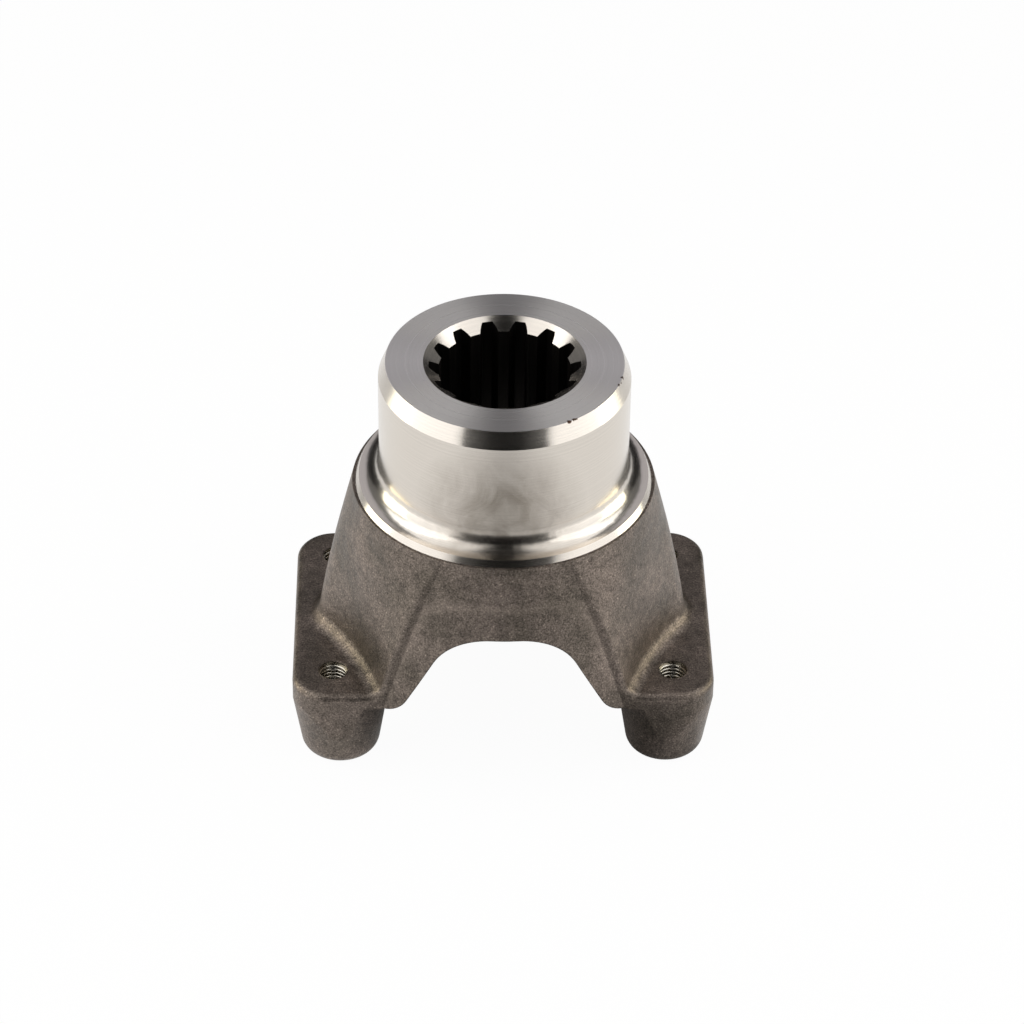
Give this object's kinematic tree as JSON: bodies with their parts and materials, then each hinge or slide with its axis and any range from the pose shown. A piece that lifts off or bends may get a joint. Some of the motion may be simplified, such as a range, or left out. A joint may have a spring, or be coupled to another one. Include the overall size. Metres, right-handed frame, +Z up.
{
  "type": "forged end yoke",
  "caption": "Half-round end yoke for a propeller shaft: a splined hub on an arched, flared neck, with tapped ears that hold a universal joint's cross.",
  "frame": {"origin": "on the hub's axis, in the plane of the boss ends, which is also the plane of the cross's bearing axis", "axes": "+Z up the hub, away from the cross; +X along the bearing seats, from ear to ear; Y through the arch"},
  "size_m": [0.169, 0.1296, 0.162],
  "materials": {
    "forged_steel": "bare forged steel, shot-blasted, with a turned hub and broached bore"
  },
  "bodies": {
    "root": {"forged_yoke": "forged_steel"}
  },
  "joints": []
}
